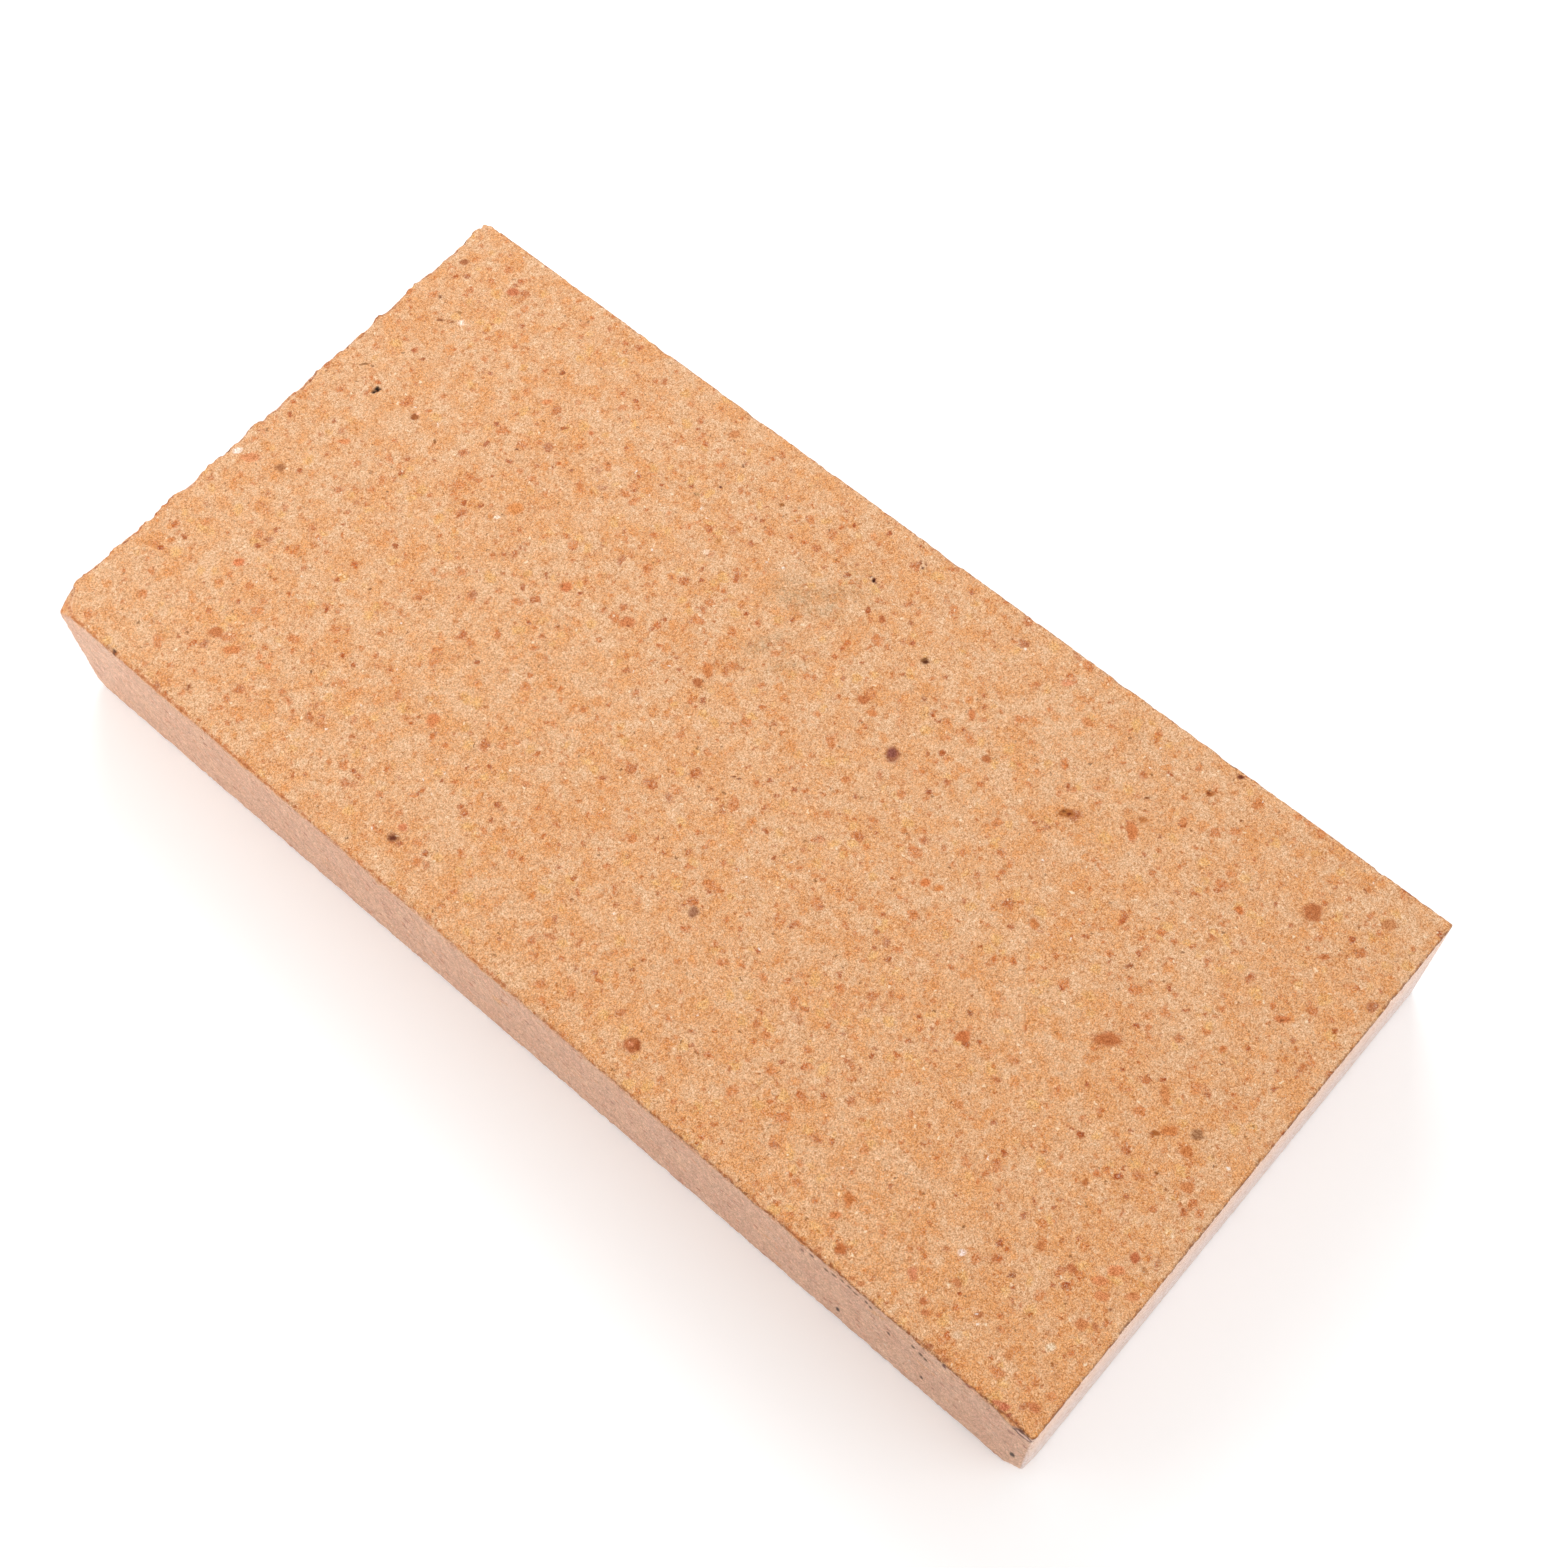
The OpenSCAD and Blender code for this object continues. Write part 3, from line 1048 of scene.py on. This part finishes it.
# %% Painted shadow under the torn edge of the skin, darker towards the right end
crumbs = add(
    "ShaderNodeTexNoise",
    {"Vector": wandering_mm, "Scale": 1.3, "Detail": 4.0, "Roughness": 0.7},
)["Fac"]
to_right = add(
    "ShaderNodeMapRange",
    {
        "Value": apart["X"],
        "From Min": FAR_AWAY.x - 10.0,
        "From Max": FAR_AWAY.x + 70.0,
        "To Min": 0.15,
    },
)["Result"]
gap_to_line = add("ShaderNodeMath", {0: past_line}, operation="ABSOLUTE")["Value"]
near_line = add(
    "ShaderNodeMapRange",
    {"Value": gap_to_line, "From Min": 0.3, "From Max": 0.1, "To Max": 0.8},
)["Result"]
line_here = add(
    "ShaderNodeMapRange",
    {"Value": crumbs, "From Min": 0.4, "From Max": 0.54},
)["Result"]
torn_edge_shadow = add("ShaderNodeMath", {0: near_line, 1: line_here}, operation="MULTIPLY")["Value"]
torn_edge_shadow = add("ShaderNodeMath", {0: torn_edge_shadow, 1: to_right}, operation="MULTIPLY")["Value"]
# The dark brown here is a painted shadow of the step where the skin ends
faces = paint(faces, torn_edge_shadow, colour("#5E3218"))

# %% Crumbs along the arrises
arris = add("ShaderNodeAttribute", attribute_name="arris")["Fac"]
crumb_cluster = add(
    "ShaderNodeMath",
    {0: flaking, 1: 0.7, 2: crumbs},
    operation="MULTIPLY_ADD",
)["Value"]
crumb_level = add(
    "ShaderNodeMath",
    {0: arris, 1: 0.32, 2: crumb_cluster},
    operation="MULTIPLY_ADD",
)["Value"]
crumb_share = add(
    "ShaderNodeMapRange",
    {"Value": crumb_level, "From Min": 1.1, "From Max": 1.22, "To Max": 0.75},
)["Result"]
crumbed = paint(faces, crumb_share, colour("#C06C36"))
# Where the crumbs cluster most they are painted darker: partly dark grains, partly painted shade
# in the gaps among them
crumb_gap_shade = add(
    "ShaderNodeMapRange",
    {"Value": crumb_level, "From Min": 1.3, "From Max": 1.36, "To Max": 0.65},
)["Result"]
crumbed = paint(crumbed, crumb_gap_shade, colour("#8A4824"))

# %% The line where the arris has rubbed down to the dark, well-fired crust
# It runs all round both beds, but it is faint along the left half of the front
edge = add("ShaderNodeAttribute", attribute_name="edge")["Fac"]
on_bed = add("ShaderNodeMapRange", {"Value": below, "From Min": 1.2, "From Max": 0.6})["Result"]
front = add(
    "ShaderNodeMapRange",
    {
        "Value": apart["Y"],
        "From Min": FAR_AWAY.y - half_w / MM + 6.0,
        "From Max": FAR_AWAY.y - half_w / MM + 2.0,
    },
)["Result"]
from_right = add("ShaderNodeMath", {0: to_right, 1: 1.0}, operation="SUBTRACT")["Value"]
rubbed_side = add(
    "ShaderNodeMath",
    {0: front, 1: from_right, 2: 1.0},
    operation="MULTIPLY_ADD",
)["Value"]
rubbed_level = add(
    "ShaderNodeMath",
    {0: crumbs, 1: 1.2, 2: edge},
    operation="MULTIPLY_ADD",
)["Value"]
rubbed = add(
    "ShaderNodeMapRange",
    {"Value": rubbed_level, "From Min": 1.47, "From Max": 1.62, "To Max": 0.55},
)["Result"]
rubbed = add("ShaderNodeMath", {0: rubbed, 1: rubbed_side}, operation="MULTIPLY")["Value"]
rubbed = add("ShaderNodeMath", {0: rubbed, 1: on_bed}, operation="MULTIPLY")["Value"]
crumbed = paint(crumbed, rubbed, colour("#80492F"))

# %% Relief
# The finest grains stand up by less than a tenth of a millimetre
height = add("ShaderNodeMath", {0: dust_rise, 1: -0.045}, operation="MULTIPLY")["Value"]
relief_strength = add(
    "ShaderNodeMapRange",
    {"Value": skinned, "To Min": 1.0, "To Max": 0.4},
)["Result"]
relief = add(
    "ShaderNodeBump",
    {"Height": height, "Strength": relief_strength, "Distance": MM},
)["Normal"]

# %% The shader
sleek = add("ShaderNodeMath", {0: skinned, 1: unmarked}, operation="MULTIPLY")["Value"]
roughness = add(
    "ShaderNodeMapRange",
    {"Value": sleek, "To Min": 0.8, "To Max": 0.42},
)["Result"]
surface = add(
    "ShaderNodeBsdfPrincipled",
    {
        "Base Color": crumbed,
        "Roughness": roughness,
        "Specular IOR Level": 0.2,
        "Sheen Weight": 0.1,
        "Sheen Roughness": 0.5,
        "Normal": relief,
    },
)
add("ShaderNodeOutputMaterial", {"Surface": surface["BSDF"]})
brick.data.materials.append(fireclay)
print("nodes in the fireclay:", len(tree.nodes))

# %% [markdown]
# ## Floor and light
#
# A product photograph of a pale thing is lit softly from all sides. The world gives even
# light, and one wide sun fills in from the right. Two soft boxes give the light a direction:
# a strong one above the far left corner and a weak, low one before the near left corner.
# They stand close, so the left of the brick is brighter than the right, as in the
# photograph. The paper glows a little where it is seen, so it comes out white and still
# takes the brick's shadow.

# %% The paper that the brick lies on
FLOOR_SIDE = 8
PAPER_GLOW = 0.12
start_fresh()
bpy.ops.mesh.primitive_plane_add(size=FLOOR_SIDE)
floor = bpy.context.object
floor.name = "floor"
paper = bpy.data.materials.new("white backdrop paper")
paper.use_nodes = True
tree = paper.node_tree
tree.nodes.clear()
ray = add("ShaderNodeLightPath")
seen_directly = add(
    "ShaderNodeMath",
    {0: ray["Is Camera Ray"], 1: ray["Is Glossy Ray"]},
    operation="MAXIMUM",
)["Value"]
seen = add(
    "ShaderNodeMath",
    {0: seen_directly, 1: ray["Is Transmission Ray"]},
    operation="MAXIMUM",
)["Value"]
paper_colour = paint(colour("#DADADA"), seen, colour("#FFFFFF"))
sheet = add("ShaderNodeBsdfDiffuse", {"Color": paper_colour})["BSDF"]
glow_strength = add("ShaderNodeMath", {0: seen, 1: PAPER_GLOW}, operation="MULTIPLY")["Value"]
glow = add("ShaderNodeEmission", {"Strength": glow_strength})["Emission"]
lit_sheet = add("ShaderNodeAddShader", {0: sheet, 1: glow})["Shader"]
add("ShaderNodeOutputMaterial", {"Surface": lit_sheet})
floor.data.materials.append(paper)
print("floor of", FLOOR_SIDE, "m a side")

# %% Even light from all round, and white where the camera sees it
EVEN_LIGHT = 0.7
world = bpy.data.worlds.new("soft studio")
bpy.context.scene.world = world
world.use_nodes = True
tree = world.node_tree
tree.nodes.clear()
ray = add("ShaderNodeLightPath")
sky_strength = add(
    "ShaderNodeMapRange",
    {"Value": ray["Is Camera Ray"], "To Min": EVEN_LIGHT, "To Max": 1.0},
)["Result"]
sky = add("ShaderNodeBackground", {"Color": colour("#FFFFFF"), "Strength": sky_strength})
add("ShaderNodeOutputWorld", {"Surface": sky["Background"]})
print("even light:", EVEN_LIGHT)

# %% A wide sun from the right and two soft boxes from the left
bpy.ops.object.light_add(type="SUN")
sun = bpy.context.object
sun.name = "right fill"
sun.data.energy = 0.8
sun.data.angle = math.radians(60)
sun.rotation_mode = "QUATERNION"
sun.rotation_quaternion = Vector((0.8, 0.2, 0.6)).to_track_quat("Z", "Y")


def add_soft_box(name, stands_at, side, power):
    """A square lamp that faces the brick. It is near, so its light falls off along the brick."""
    bpy.ops.object.light_add(type="AREA", location=stands_at)
    box = bpy.context.object
    box.name = name
    box.data.shape = "SQUARE"
    box.data.size = side
    box.data.energy = power
    box.rotation_mode = "QUATERNION"
    box.rotation_quaternion = stands_at.to_track_quat("Z", "Y")
    print(name, "stands", round(stands_at.length, 2), "m away")


add_soft_box("key box", Vector((-420, 460, 520)) * MM, side=0.45, power=2.5)
add_soft_box("front box", Vector((-260, -330, 80)) * MM, side=0.3, power=0.75)

# %% Show the colours as they are
bpy.context.scene.view_settings.view_transform = "Standard"

# %% [markdown]
# ## Onto the imported model's body
#
# The dressed brick rides on the imported model's one body and takes the place of its one node.
# The dressing must not make the brick any larger.

# %% Ride and stand for the imported brick
start_fresh()
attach(brick, "root")
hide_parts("brick")
